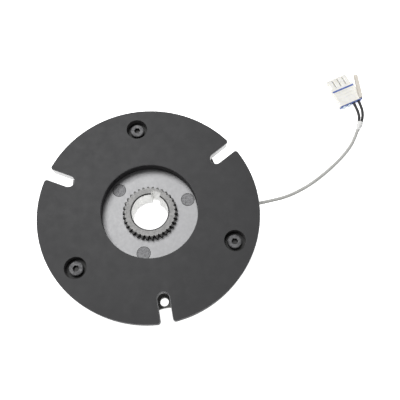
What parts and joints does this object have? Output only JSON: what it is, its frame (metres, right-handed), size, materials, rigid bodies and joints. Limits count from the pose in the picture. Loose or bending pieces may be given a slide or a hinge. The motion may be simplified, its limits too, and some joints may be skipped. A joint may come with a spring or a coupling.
{
  "type": "electromagnetic clutch",
  "caption": "Round spring-applied electromagnetic clutch with a slotted front plate, a friction disc on a splined keyed hub and a sealed plug on a lead.",
  "frame": {"origin": "on the shaft axis at the back face of the magnet body, which is the resting surface", "axes": "+Z along the shaft axis towards the slotted front plate; +X towards the side that the lead leaves by"},
  "size_m": [0.2558, 0.2159, 0.0508],
  "materials": {
    "phosphated_steel": "matte dark grey phosphate",
    "body_steel": "matte dark phosphate",
    "oiled_steel": "black oxide, oiled",
    "zinc_steel": "dull zinc",
    "turned_steel": "turned steel",
    "disc_metal": "satin",
    "rivet_metal": "dull",
    "friction_lining": "pressed friction material",
    "ground_steel": "ground",
    "spring_steel": "oiled",
    "bobbin_plastic": "moulded",
    "copper_wire": "enamelled copper",
    "potting_resin": "cast resin",
    "cable_jacket": "soft grey jacket",
    "black_rubber": "moulded rubber",
    "shrink_sleeve": "translucent",
    "wire_insulation": "black insulation",
    "natural_nylon": "natural nylon",
    "blue_silicone": "silicone",
    "plug_silicone": "silicone",
    "tinned_contact": "tin plated",
    "lock_nylon": "natural nylon"
  },
  "bodies": {
    "root": {"front_plate": "phosphated_steel", "plate_screws": "oiled_steel", "spacer_sleeves": "zinc_steel", "magnet_body": "body_steel", "clutch_springs": "spring_steel", "coil_bobbin": "bobbin_plastic", "coil_winding": "copper_wire", "coil_potting": "potting_resin", "coil_lead": "cable_jacket", "lead_grommet": "black_rubber", "lead_cable": "cable_jacket", "cable_sleeve": "shrink_sleeve", "left_wire": "wire_insulation", "right_wire": "wire_insulation", "connector_housing": "natural_nylon", "connector_rear_seal": "blue_silicone", "connector_front_seal": "blue_silicone", "cavity_plugs": "plug_silicone", "wire_terminals": "tinned_contact", "connector_lock": "lock_nylon"},
    "hub": {"splined_hub": "turned_steel"},
    "disc": {"disc_carrier": "disc_metal", "carrier_rivets": "rivet_metal", "front_lining": "friction_lining", "rear_lining": "friction_lining"},
    "armature": {"armature_plate": "ground_steel"}
  },
  "joints": [
    {"name": "hub_spin", "type": "hinge", "parent": "root", "child": "hub", "pos_m": [0, 0, 0.0365], "axis": [0, 0, 1], "continuous": true},
    {"name": "disc_float", "type": "slide", "parent": "hub", "child": "disc", "axis": [0, 0, 1], "range_m": [-0.0002, 0]},
    {"name": "armature_release", "type": "slide", "parent": "root", "child": "armature", "axis": [0, 0, 1], "range_m": [-0.0004, 0], "stiffness_N_per_m": 4000, "springref_m": 0.0025, "deforming": ["clutch_springs"]}
  ],
  "couplings": [
    {"joint": "disc_float", "follows": "armature_release", "ratio": 0.5}
  ]
}
